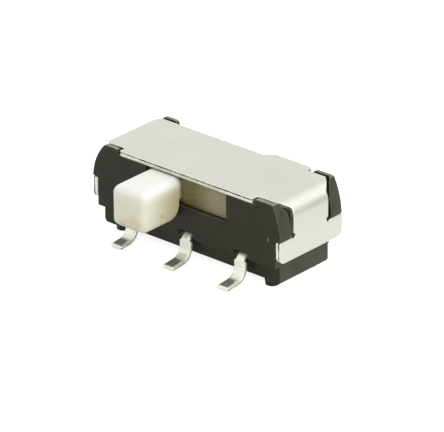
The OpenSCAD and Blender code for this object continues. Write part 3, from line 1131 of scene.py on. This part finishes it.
@dataclass
class BaseHousing:
    """The moulded black base, with its corner ears, window and lead notches.

    Each share is a share of the full rounding, round_r. An ear's outline lies beyond ear_x and above
    ear_z within ear_set of a long face, the lower block below block_z, and its corners beyond block_x.
    """

    layout: Layout
    round_r: float = 0.11
    segments: int = 3
    least_deg: float = 28.0
    sharp_deg: float = 40.0
    plain_share: float = 0.3
    ear_share: float = 1.1
    low_share: float = 0.6
    corner_share: float = 1.0
    ear_x: float = 3.1
    ear_z: float = 1.95
    ear_set: float = 0.06
    block_x: float = 4.0
    block_z: float = 0.93
    mark_at: tuple[float, float] = (3.77, 1.97)
    mark_size: tuple[float, float, float] = (0.045, 0.015, 0.08)
    mark_sunk: float = 0.01
    mark_tip: float = 0.15
    mark_grid: tuple[int, int] = (16, 6)

    def shares(self, points: np.ndarray, edges: np.ndarray) -> np.ndarray:
        """Share of the full rounding for each edge, from where its two ends lie.

        The lower block's corners are rounded most, then the ears' outlines in the two long faces, the
        underside and the feet, and every other edge is only eased.

        Args:
            points: Vertices in millimetres.
            edges: Pairs of vertex indices.

        Returns:
            A share for each edge.
        """
        ends = points[edges]
        side, height = np.abs(ends[..., 0]).min(axis=1), ends[..., 2]
        depth = ends[..., 1] - self.layout.front_y
        front = (np.abs(depth) < self.ear_set).all(axis=1)
        rear = (np.abs(depth - self.layout.body_d) < self.ear_set).all(axis=1)
        share = np.full(len(edges), self.plain_share)
        low = (height < self.block_z).all(axis=1)
        share[low] = self.low_share
        share[low & (side > self.block_x)] = self.corner_share
        share[(side > self.ear_x) & (height > self.ear_z).all(axis=1) & (front | rear)] = self.ear_share
        return share

    def weigh(self, mesh: bpy.types.Mesh) -> None:
        """Stores the share of each edge that is sharp enough as its bevel weight, and 0 for the rest.

        Args:
            mesh: The base's mesh, in millimetres.
        """
        points = np.empty(3 * len(mesh.vertices))
        mesh.vertices.foreach_get("co", points)
        edges = np.empty(2 * len(mesh.edges), dtype=int)
        mesh.edges.foreach_get("vertices", edges)
        share = self.shares(points.reshape(-1, 3), edges.reshape(-1, 2))
        work = bmesh.new()
        work.from_mesh(mesh)
        turn = np.array([edge.calc_face_angle(0.0) for edge in work.edges])
        work.free()
        layer = mesh.attributes.new("bevel_weight_edge", "FLOAT", "EDGE")
        layer.data.foreach_set("value", np.where(turn > math.radians(self.least_deg), share, 0.0))

    @staticmethod
    def kept_within(mesh: bpy.types.Mesh, low: np.ndarray, high: np.ndarray) -> None:
        """Brings a vertex that a mitre pushed past the moulding's own box back to the box.

        Args:
            mesh: The rounded mesh.
            low: Lowest corner of the box.
            high: Highest corner of the box.
        """
        points = np.empty(3 * len(mesh.vertices))
        mesh.vertices.foreach_get("co", points)
        mesh.vertices.foreach_set("co", np.clip(points.reshape(-1, 3), low, high).ravel())
        mesh.update()

    def mark(self) -> Shape:
        """The moulding mark: a low mound on the front face, half an ellipsoid.

        A point is (cos u * sin v, -cos v, sin u * sin v), times the mark's three sizes.

        Returns:
            The mark, whose faces take the second finish: a pale grey that paints the light caught on it.
        """
        around, rows = self.mark_grid
        turn, rise = np.meshgrid(np.linspace(0, 2 * np.pi, around, endpoint=False),
                                 np.linspace(self.mark_tip, np.pi / 2, rows), indexing="xy")
        wide, deep, tall = self.mark_size
        rings = np.stack([self.mark_at[0] + wide * np.cos(turn) * np.sin(rise),
                          self.layout.front_y + self.mark_sunk - (deep + self.mark_sunk) * np.cos(rise),
                          self.mark_at[1] + tall * np.sin(turn) * np.sin(rise)], axis=-1)
        shape = loft(rings)
        shape.finish = [1] * len(shape.faces)
        return shape

    def build(self) -> bpy.types.Object:
        """The base with its edges rounded, and its mark.

        Returns:
            The finished piece.
        """
        piece = node_copy("base_housing", "moulded_base")
        corners = np.array([corner[:] for corner in piece.bound_box])
        self.weigh(piece.data)
        softened(piece, self.round_r, self.segments, self.least_deg, Limit.WEIGHT)
        settled(piece)
        self.kept_within(piece.data, corners.min(axis=0), corners.max(axis=0))
        with editing(piece.data) as work:
            work.from_mesh(self.mark().mesh("mark"))
        piece.data.transform(Matrix.Scale(MM, 4))
        smooth_shading(piece, self.sharp_deg)
        return dressed(piece, (BLACK_MOULDING, GATE_MARK_HIGHLIGHT), "housing", "base_housing")


@dataclass
class Cover:
    """The folded cover: a top plate, a neck and a crossbar at each end, and a tab at the rear.

    corner_rs are the radii of the plate's four convex and concave corners, from its front rim to the
    neck, bar_r rounds a crossbar's upper corners, and tab_rs the tab's foot and its other corners.
    """

    layout: Layout
    sheet: float = 0.2
    bend_r: float = 0.6
    wide_x: float = 3.045
    notch_d: float = 0.285
    corner_x: float = 3.8
    corner_rs: tuple[float, float, float, float] = (0.07, 0.07, 0.12, 0.1)
    neck_x: float = 4.2
    neck_inset: float = 0.74
    bar_h: float = 0.83
    bar_r: float = 0.08
    crossbar_r: float = 0.25
    relief_r: float = 0.09
    relief_deg: tuple[float, float] = (180, -60)
    relief_points: int = 13
    tab_x: tuple[float, float] = (1.25, 2.95)
    tab_rs: tuple[float, float] = (0.08, 0.1)
    tab_slant: float = 0.25
    roll: float = 0.035
    point_step: float = 0.06

    def fold(self) -> Fold:
        """Front view of the outer face, from the foot of the left flap over the top and down.

        Returns:
            The fold.
        """
        upright = Straight(self.layout.top_z - self.bend_r - self.layout.bar_z)
        shoulder = Bend(self.bend_r, -90)
        plate = Straight(2 * (self.layout.end_x - self.bend_r))
        stretches = [upright, shoulder, plate, shoulder, upright]
        return Fold((-self.layout.end_x, self.layout.bar_z), 90, stretches)

    def developed(self, x: float) -> float:
        """Distance from the middle along the unfolded sheet to a place x on the plate or its bend.

        Round the bend it is the radius times the angle whose sine is (x - flat) / radius.

        Args:
            x: Place along the switch.

        Returns:
            The developed distance.
        """
        flat = self.layout.end_x - self.bend_r
        if x <= flat:
            return x
        return flat + self.bend_r * math.asin((x - flat) / self.bend_r)

    def outline(self, half: float) -> np.ndarray:
        """Outline of the unfolded sheet, counter-clockwise, as (along, depth).

        The front right quarter is mirrored to the other three. A round relief lies where the neck
        meets the crossbar, and the tab stands on the rear edge.

        Args:
            half: Half of the unfolded length.

        Returns:
            Outline points with their corners rounded.
        """
        depth, notch = self.layout.body_d, self.notch_d
        bar_u = half - self.bar_h
        neck_u, corner_u = self.developed(self.neck_x), self.developed(self.corner_x)
        relief = arc((bar_u - self.relief_r / 2, self.neck_inset), self.relief_r, *self.relief_deg,
                     self.relief_points)
        places = [(self.wide_x, 0), (self.wide_x, notch), (corner_u, notch), (neck_u, self.neck_inset)]
        front = [(u, d, r) for (u, d), r in zip(places, self.corner_rs)] + [(u, d, 0) for u, d in relief]
        front += [(bar_u, 0, self.bar_r), (half, 0, self.crossbar_r)]
        foot_r, tip_r = self.tab_rs
        near, far = self.tab_x
        rear = [(u, depth - d, r) for u, d, r in front[:1:-1]]
        tab = [(far, depth - notch, foot_r), (far, depth, tip_r), (near, depth, tip_r),
               (near - self.tab_slant, depth - notch, tip_r)]
        left = [(-u, depth - d, r) for u, d, r in front[2:]] + [(-u, d, r) for u, d, r in front[::-1]]
        corners = front + rear + tab + left
        return rounded_outline([(u + half, d, r) for u, d, r in corners], self.point_step)

    def build(self) -> bpy.types.Object:
        """The folded cover, dressed in tin with torn edges.

        Returns:
            The finished piece.
        """
        fold = self.fold()
        part = SheetPart(fold, Plane.FRONT, self.outline(fold.knots()[-1] / 2), self.sheet, self.roll,
                         front_y=self.layout.front_y)
        return dressed(sheet_piece("folded_cover", part), COVER_METAL, "housing", "cover")


@dataclass(frozen=True)
class Section:
    """One section across the knob and stem: its depth, half width, lower and upper edge, and corners."""

    depth: float
    half: float
    low: float
    high: float
    radius: float

    def ring(self, corner_points: int = 8, side_points: int = 4) -> np.ndarray:
        """Rounded rectangle with the same number of points at any size, counter-clockwise.

        Each corner is a quarter circle of the radius about its centre, radius in from both sides, and
        a few points lie evenly along each side between two corners.

        Args:
            corner_points: Points on a corner.
            side_points: Points on a side, between its corners.

        Returns:
            Array (point, 3) of places along the body, depths and heights.
        """
        signs = np.array([[1, -1], [1, 1], [-1, 1], [-1, -1]])
        middle = np.array([0, (self.low + self.high) / 2])
        reach = np.array([self.half - self.radius, (self.high - self.low) / 2 - self.radius])
        angle = np.radians([-90, 0, 90, 180])[:, None] + np.linspace(0, np.pi / 2, corner_points)
        round_part = self.radius * np.stack([np.cos(angle), np.sin(angle)], axis=2)
        corners = middle + (signs * reach)[:, None] + round_part
        follow = np.roll(corners[:, 0], -1, axis=0)
        share = np.linspace(0, 1, side_points + 2)[1:-1]
        sides = corners[:, -1][:, None] + (follow - corners[:, -1])[:, None] * share[:, None]
        flat = np.concatenate([corners, sides], axis=1).reshape(-1, 2)
        return np.stack([flat[:, 0], np.full(len(flat), self.depth), flat[:, 1]], axis=1)


@dataclass
class Slider:
    """The ivory slider: a knob on a short stem, a wall behind the window and a block with two pockets."""

    layout: Layout
    width: float = 1.5
    knob_z: float = 1.5
    top_gap: float = 0.015
    stem_z: float = 2.11
    back_d: float = -0.04
    back_step: float = 0.02
    wall_d: float = 0.21
    tail_d: float = 0.3
    corner_r: float = 0.28
    rim_r: float = 0.26
    lean: float = 0.45
    heel_r: float = 0.35
    flare: float = 0.08
    flare_rise: float = 0.35
    edge_r: float = 0.03
    edge_segments: int = 2
    least_deg: float = 30.0
    sharp_deg: float = 40.0
    steps: tuple[int, int, int, int] = (8, 5, 9, 5)

    def sections(self) -> list[Section]:
        """Sections of the knob and stem, from the knob's front to inside the wall.

        At an angle a of the front rim's quarter circle a section lies rim_r * (1 - sin a) inside the
        full outline, at a depth of rim_r * (1 - cos a). The heel is a quarter circle under the back,
        and the stem flares out in a small cove where it meets the wall. The four counts in steps are
        those of the rim, the straight, the heel and the cove.

        Returns:
            The sections, from front to rear.
        """
        quarters = [np.radians(np.linspace(0, 90, count + 1)) for count in self.steps]
        low, high = self.knob_z, self.layout.slider_top_z - self.top_gap
        front, half, corner = self.layout.knob_front_d, self.width / 2, self.corner_r
        heel_d, stem = self.back_d - self.heel_r, self.stem_z
        result = []
        for angle in quarters[0]:
            inward = self.rim_r * (1 - np.sin(angle))
            depth = front + self.rim_r * (1 - math.cos(angle))
            result.append(Section(depth, half - inward * (1 - self.lean / 2), low + inward, high - inward,
                                  corner - inward))
        for depth in np.linspace(front + self.rim_r, heel_d, self.steps[1] + 1)[1:]:
            result.append(Section(depth, half, low, high, corner))
        for angle in quarters[2][1:]:
            rise = self.heel_r * (1 - math.cos(angle))
            result.append(Section(heel_d + self.heel_r * math.sin(angle), half, low + rise, high, corner))
        result.append(Section(self.back_d, half, stem - self.back_step, high, corner))
        result.append(Section(self.back_d + self.back_step, half, stem, high, corner))
        for angle in quarters[3]:
            depth = self.wall_d - self.flare * (1 - math.sin(angle))
            out = self.flare * (1 - math.cos(angle))
            rise = self.flare_rise * out
            result.append(Section(depth, half + out, stem - rise, high + rise, corner + out))
        return result + [replace(result[-1], depth=self.tail_d)]

    def knob(self) -> bpy.types.Object:
        """The knob and stem alone, in millimetres.

        On the left side the front rim gives back a share of its inset, lean, so each of its sections
        moves left by half of that.

        Returns:
            The knob as an object of its own.
        """
        rings = np.array([section.ring() for section in self.sections()])
        inward = self.rim_r * (1 - np.sin(np.radians(np.linspace(0, 90, self.steps[0] + 1))))
        rings[:len(inward), :, 0] -= (inward * self.lean / 2)[:, None]
        rings += [self.layout.knob_x, self.layout.front_y, 0]
        return add_object("knob", loft(rings).mesh("knob"))

    def carriage(self) -> bpy.types.Object:
        """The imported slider's wall and block, cut free of its plain knob, in millimetres.

        Returns:
            The closed wall and block.
        """
        piece = node_copy("slider", "slider_knob")
        cut_at = (0, self.layout.front_y + self.wall_d, 0)
        with editing(piece.data) as work:
            everything = work.verts[:] + work.edges[:] + work.faces[:]
            bmesh.ops.bisect_plane(work, geom=everything, plane_co=cut_at, plane_no=(0, -1, 0),
                                   clear_outer=True, dist=CLOSE)
            bmesh.ops.holes_fill(work, edges=[edge for edge in work.edges if edge.is_boundary], sides=0)
            bmesh.ops.recalc_face_normals(work, faces=work.faces)
        return piece

    def build(self) -> bpy.types.Object:
        """The whole slider in one skin.

        Returns:
            The finished piece.
        """
        piece = self.carriage()
        softened(piece, self.edge_r, self.edge_segments, self.least_deg)
        knob = self.knob()
        union = piece.modifiers.new("with_knob", "BOOLEAN")
        union.operation = "UNION"
        union.solver = "EXACT"
        union.object = knob
        settled(piece, MM)
        bpy.data.objects.remove(knob)
        smooth_shading(piece, self.sharp_deg)
        return dressed(piece, (IVORY_MOULDING,), "slide", "slider")


@dataclass
class Terminal:
    """One formed terminal: solder foot, bent leg and a contact pad on the cavity's floor.

    corner_r rounds the foot's tip and the shoulders, neck_r the neck's start and pad_r the pad's own
    corners, while where the neck joins the pad a corner takes at most join_r, or join_share of the
    step there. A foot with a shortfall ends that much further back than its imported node.
    """

    layout: Layout
    name: str
    node: str
    lead_x: float
    pad_x: float
    shortfall: float = 0.0
    lead_w: float = 0.5
    lead_t: float = 0.15
    neck_w: float = 0.35
    neck_start: float = 0.06
    neck_run: float = 0.05
    lower_r: float = 0.38
    upper_r: float = 0.15
    droop: float = 5.0
    pad_w: float = 1.2
    pad_l: float = 0.9
    corner_r: float = 0.08
    neck_r: float = 0.06
    pad_r: float = 0.1
    join_r: float = 0.1
    join_share: float = 0.46
    roll: float = 0.072
    sunk: float = 0.008
    line: tuple[float, float] = (0.55, 0.66)

    def fold(self) -> Fold:
        """Side view of the strip's upper face, from the foot's tip to the pad's far edge.

        The foot droops by a few degrees towards its tip, whose lower edge touches the board, so its
        straight is as long as brings the lower bend's end to the leg's front face.

        Returns:
            The fold.
        """
        low, high = node_box(self.node, self.layout.front_y)
        tip, end, top = low[1] + self.shortfall, high[1], high[2]
        slope = math.radians(self.droop)
        leg = -self.lead_t / 2
        length = (leg - tip - self.lower_r * (1 - math.sin(slope))) / math.cos(slope)
        turn_z = (self.lead_t + self.lower_r) * math.cos(slope) + length * math.sin(slope)
        outer_r = self.upper_r + self.lead_t
        stretches = [Straight(length), Bend(self.lower_r, 90 - self.droop), Straight(top - outer_r - turn_z),
                     Bend(outer_r, -90), Straight(end - leg - outer_r)]
        return Fold((tip, self.lead_t * math.cos(slope)), self.droop, stretches)

    def outline(self, knots: np.ndarray) -> np.ndarray:
        """Outline of the unfolded strip as (along, across): a lead, a narrower neck and a wide pad.

        Args:
            knots: Developed lengths at which the fold's stretches start and end.

        Returns:
            Outline points with their corners rounded.
        """
        near, far = self.lead_x - self.lead_w / 2, self.lead_x + self.lead_w / 2
        thin, wide = self.lead_x - self.neck_w / 2, self.lead_x + self.neck_w / 2
        left, right = self.pad_x - self.pad_w / 2, self.pad_x + self.pad_w / 2
        length, shoulder = knots[-1], knots[3] + self.neck_start
        neck, pad = shoulder + self.neck_run, length - self.pad_l
        corner_r, neck_r, pad_r = self.corner_r, self.neck_r, self.pad_r
        near_r, far_r = (min(self.join_r, self.join_share * gap) for gap in (thin - left, right - wide))
        corners = [(0, near, corner_r), (shoulder, near, corner_r), (neck, thin, neck_r),
                   (pad, thin, near_r), (pad, left, near_r), (length, left, pad_r),
                   (length, right, pad_r), (pad, right, far_r), (pad, wide, far_r),
                   (neck, wide, neck_r), (shoulder, far, corner_r), (0, far, corner_r)]
        return rounded_outline(corners, FINE_POINT_STEP)

    def build(self) -> bpy.types.Object:
        """The formed terminal, dressed in tin.

        Returns:
            The finished piece.
        """
        fold = self.fold()
        part = SheetPart(fold, Plane.SIDE, self.outline(fold.knots()), self.lead_t, self.roll, self.sunk,
                         self.line, plain_ends=True, step=FINE_STEP, front_y=self.layout.front_y)
        return dressed(sheet_piece(self.name, part), LEAD_METAL, "housing", self.node)


@dataclass
class ContactClip:
    """The bridging clip under the slider: a web with a sprung arm and a rounded nose at each end."""

    layout: Layout
    sheet: float = 0.1
    nose_r: float = 0.2
    web_r: float = 0.15
    slope: float = 45.0
    tail: float = 20.0
    corner_r: float = 0.1
    roll: float = 0.02
    sunk: float = 0.004

    def fold(self) -> Fold:
        """Front view of the clip's upper face, from the left nose over the web to the right one.

        Round a nose the face has a radius of nose_r less the sheet. An arm rises at 45 degrees, so its
        length is its rise over sin 45, and the web is what is left between the two arms.

        Returns:
            The fold.
        """
        low, high = node_box("moving_contact")
        inner, tilt = self.nose_r - self.sheet, math.radians(self.slope)
        touch = (high[0] - low[0]) / 2 - self.nose_r
        nose_z, middle = low[2] + self.nose_r, (low[0] + high[0]) / 2
        rise = high[2] - self.web_r * (1 - math.cos(tilt)) - nose_z + inner * math.cos(tilt)
        arm = Straight(rise / math.sin(tilt))
        run = rise / math.tan(tilt) + (inner + self.web_r) * math.sin(tilt)
        start = math.radians(180 + self.tail)
        point = (middle - touch + inner * math.cos(start), nose_z + inner * math.sin(start))
        nose, shoulder = Bend(inner, 90 - self.tail + self.slope), Bend(self.web_r, -self.slope)
        web = Straight(2 * (touch - run))
        return Fold(point, self.tail - 90, [nose, arm, shoulder, web, shoulder, arm, nose])

    def build(self) -> bpy.types.Object:
        """The clip, dressed in bronze.

        Returns:
            The finished piece.
        """
        low, high = node_box("moving_contact", self.layout.front_y)
        part = plain_strip(self.fold(), Plane.FRONT, (low[1], high[1]), self.corner_r, self.sheet, self.roll,
                           self.sunk, self.layout.front_y)
        return dressed(sheet_piece("contact_clip", part), CLIP_METAL, "slide",
                       "moving_contact")


@dataclass
class ClickSpring:
    """The bowed leaf behind the slider, whose nose drops into a notch at each end of the travel."""

    layout: Layout
    sheet: float = 0.08
    seat_r: float = 0.08
    nose_r: float = 0.2
    slope: float = 40.0
    corner_r: float = 0.08
    roll: float = 0.016
    sunk: float = 0.003

    def fold(self) -> Fold:
        """Top view of the leaf's rear face: a seat, a slope to the nose, and the same again.

        The slope's length is its rise, less what the two bends rise, over the sine of its angle, and
        a seat is what is left of half the leaf. Depths are counted from the front face.

        Returns:
            The fold.
        """
        low, high = node_box("click_spring", self.layout.front_y)
        tilt = math.radians(self.slope)
        both = self.seat_r + self.nose_r
        slope = (high[1] - low[1] - self.sheet - both * (1 - math.cos(tilt))) / math.sin(tilt)
        seat = (high[0] - low[0]) / 2 - slope * math.cos(tilt) - both * math.sin(tilt)
        rise, nose = Bend(self.seat_r, self.slope), Bend(self.nose_r, -2 * self.slope)
        stretches = [Straight(seat), rise, Straight(slope), nose, Straight(slope), rise, Straight(seat)]
        return Fold((low[0], low[1] + self.sheet), 0, stretches)

    def build(self) -> bpy.types.Object:
        """The leaf, dressed in bright spring steel.

        Returns:
            The finished piece.
        """
        low, high = node_box("click_spring")
        part = plain_strip(self.fold(), Plane.TOP, (low[2], high[2]), self.corner_r, self.sheet, self.roll,
                           self.sunk, self.layout.front_y)
        return dressed(sheet_piece("click_leaf", part), LEAF_METAL, "slide", "click_spring")


# ---- studio ----

@dataclass(frozen=True)
class Softbox:
    """A square lamp that faces the switch: its direction, size, level of light, tint and distance."""

    name: str
    direction: tuple[float, float, float]
    size: float
    level: float
    tint: tuple[float, float, float] = (1.0, 1.0, 1.0)
    distance: float = 0.5

    def build(self, aim: Vector) -> None:
        """Places the lamp. Its power is level * 4 pi distance squared, to light a facing surface to level.

        Args:
            aim: Point that it faces, in metres.
        """
        data = bpy.data.lights.new(self.name, "AREA")
        data.size = self.size
        data.color = self.tint
        data.energy = self.level * 4 * math.pi * self.distance ** 2
        lamp = bpy.data.objects.new(self.name, data)
        away = Vector(self.direction).normalized()
        lamp.location = aim + away * self.distance
        lamp.rotation_euler = away.to_track_quat("Z", "Y").to_euler()
        bpy.context.scene.collection.objects.link(lamp)


@dataclass(frozen=True)
class Studio:
    """The pale table, the lamps, the world and the camera.

    The aim point and the camera's distance are in millimetres, and angles in degrees. Along tone_axis
    the table's colour and its glow, where it is mirrored, run from near to far over tone_run, and on
    to the skirt's over skirt_run. ambient is the world's light on surfaces, and card_tone how bright
    the grey card in the direction card is mirrored, between the two angles of card_deg.
    """

    front_y: float
    aim: tuple[float, float, float] = (0.43002, 1.41950, 1.34235)
    distance: float = 202.867
    azimuth: float = 41.3491
    elevation: float = 25.1463
    roll: float = -0.3590
    lens: float = 474.79
    sensor: float = 36.0
    clip: tuple[float, float] = (0.01, 10)
    table_half: float = 0.6
    ambient: float = 0.83
    floor_glow: float = 0.86
    near_glow: float = 0.65
    far_glow: float = 0.34
    skirt_glow: float = 0.12
    near_tone: float = 0.5
    far_tone: float = 0.85
    skirt_tone: float = 0.45
    tone_axis: tuple[float, float, float] = (0.66, 0.75, 0.0)
    tone_run: tuple[float, float] = (-1.0, 7.0)
    skirt_run: tuple[float, float] = (10.5, 16.0)
    card: tuple[float, float, float] = (0.73, 0.68, -0.05)
    card_deg: tuple[float, float] = (26.0, 8.0)
    card_tone: float = 0.6
    softboxes: tuple[Softbox, ...] = (
        Softbox("key_softbox", (0.44, 0.68, 0.58), size=0.42, level=0.075, tint=(0.97, 0.99, 1.0)),
        Softbox("fill_softbox", (-0.85, -0.45, 0.25), size=0.45, level=0.08, tint=(1.0, 0.98, 0.88)),
        Softbox("side_softbox", (0.97, 0.0, 0.22), size=0.5, level=0.42),
    )

    def target(self) -> Vector:
        """The aim point in metres, whose depth is counted from the front face."""
        return Vector((self.aim[0], self.aim[1] + self.front_y, self.aim[2])) * MM

    def camera(self) -> None:
        """The camera, turned about its aim point by azimuth, elevation and roll."""
        az, el, ro = (math.radians(a) for a in (self.azimuth, self.elevation, self.roll))
        back = Vector((math.sin(az) * math.cos(el), -math.cos(az) * math.cos(el), math.sin(el)))
        right = Vector((math.cos(az), math.sin(az), 0))
        up = back.cross(right)
        side = right * math.cos(ro) + up * math.sin(ro)
        head = up * math.cos(ro) - right * math.sin(ro)
        turn = Matrix((side, head, back)).transposed().to_4x4()
        data = bpy.data.cameras.new("camera")
        data.lens = self.lens
        data.sensor_width = self.sensor
        data.clip_start, data.clip_end = self.clip
        camera = bpy.data.objects.new("camera", data)
        place = self.target() + back * self.distance * MM
        camera.matrix_world = Matrix.Translation(place) @ turn
        bpy.context.scene.collection.objects.link(camera)
        bpy.context.scene.camera = camera

    def world(self) -> None:
        """The world: white where it is seen, dimmer for surfaces, with a grey card beyond the right end."""
        world = bpy.data.worlds.new("studio_world")
        bpy.context.scene.world = world
        world.use_nodes = True
        graph = Graph(world.node_tree)
        level = graph.remap(graph.seen_share(), (0, 1), (self.ambient, 1))
        toward = graph.node("TexCoord").outputs["Generated"]
        edge, middle = (math.cos(math.radians(angle)) for angle in self.card_deg)
        share = graph.dot(toward, Vector(self.card).normalized())
        card = graph.remap(share, (edge, middle), (1, self.card_tone))
        background = graph.tree.nodes["Background"].inputs
        graph.feed(background["Color"], (1, 1, 1, 1))
        graph.feed(background["Strength"], graph.times(level, card))

    def table(self) -> None:
        """The pale table: white where it is seen, greyer towards the front left, and it takes the shadow.

        The switch's front face stands before a dimmer stretch of table than its ends do.
        """
        half = self.table_half
        mesh = bpy.data.meshes.new("table")
        corners = [(-half, -half, 0), (half, -half, 0), (half, half, 0), (-half, half, 0)]
        mesh.from_pydata(corners, [], [range(len(corners))])
        recipe = Recipe("pale_table")
        along = recipe.dot(recipe.place, self.tone_axis)
        tones = (self.near_tone, self.far_tone, self.skirt_tone)
        near, far, skirt = ((tone, tone, tone, 1) for tone in tones)
        tone = recipe.mix(recipe.remap(along, self.tone_run), near, far)
        glow = recipe.math("SUBTRACT", recipe.remap(along, self.tone_run, (self.near_glow, self.far_glow)),
                           recipe.remap(along, self.skirt_run, (0, self.far_glow - self.skirt_glow)))
        mirrored = recipe.times(recipe.seen_share(), glow)
        direct = recipe.times(recipe.node("LightPath").outputs["Is Camera Ray"], self.floor_glow)
        recipe.dress(Roughness=1.0, Specular_IOR_Level=0.0, Emission_Color=(1, 1, 1, 1),
                     Base_Color=recipe.mix(recipe.remap(along, self.skirt_run), tone, skirt),
                     Emission_Strength=recipe.math("MAXIMUM", mirrored, direct))
        mesh.materials.append(recipe.material)
        add_object("table", mesh)

    def build(self) -> None:
        """Sets the stage: camera, world, table and lamps."""
        bpy.context.scene.view_settings.view_transform = "Standard"
        self.camera()
        self.world()
        self.table()
        for softbox in self.softboxes:
            softbox.build(self.target())


def main() -> None:
    """Builds the stage and every piece."""
    logging.basicConfig(level=logging.INFO, format="%(name)s: %(message)s")
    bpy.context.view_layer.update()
    layout = Layout.from_frame()
    Studio(layout.front_y).build()
    makers = [BaseHousing(layout), Cover(layout), Slider(layout),
              Terminal(layout, "left_lead", "terminal_left", lead_x=-2.5, pad_x=-2.25, shortfall=0.1),
              Terminal(layout, "middle_lead", "terminal_common", lead_x=0, pad_x=0),
              Terminal(layout, "right_lead", "terminal_right", lead_x=2.5, pad_x=2.25),
              ContactClip(layout), ClickSpring(layout)]
    for maker in makers:
        piece = maker.build()
        LOG.info("%s: %d faces", piece.name, len(piece.data.polygons))


if __name__ == "__main__":
    main()
